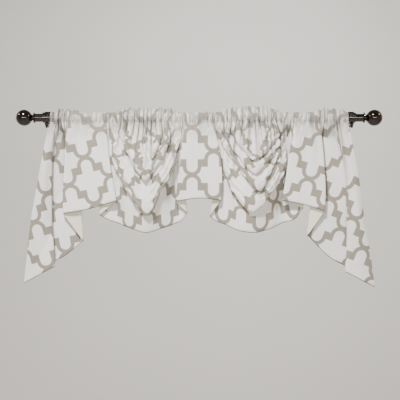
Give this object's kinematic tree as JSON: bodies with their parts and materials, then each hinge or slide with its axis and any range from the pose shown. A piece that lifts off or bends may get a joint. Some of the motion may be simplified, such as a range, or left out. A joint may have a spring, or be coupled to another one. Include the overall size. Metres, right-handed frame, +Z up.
{
  "type": "swag and tail valance hung on a curtain rod",
  "caption": "Lined rod-pocket valance with draped swags and cascading tails in trellis-print cotton, hung on a dark bronze rod with ball finials.",
  "frame": {"origin": "on the wall plane, midway between the two brackets, at the height of the rod's axis", "axes": "+X along the rod to the viewer's right, -Y out of the wall towards the viewer, +Z up"},
  "size_m": [1.3638, 0.1792, 0.67],
  "materials": {
    "printed_cotton": "plain-woven cotton with a printed trellis",
    "cream_lining": "plain-woven cream lining",
    "dark_metal": "dark bronze plating, satin",
    "polished_metal": "dark bronze plating, glossy"
  },
  "bodies": {
    "root": {"valance_face": "printed_cotton", "valance_lining": "cream_lining", "rod": "dark_metal", "finial_left": "polished_metal", "finial_right": "polished_metal", "bracket_left": "dark_metal", "bracket_right": "dark_metal", "thumb_screw_left": "dark_metal", "thumb_screw_right": "dark_metal"}
  },
  "joints": []
}
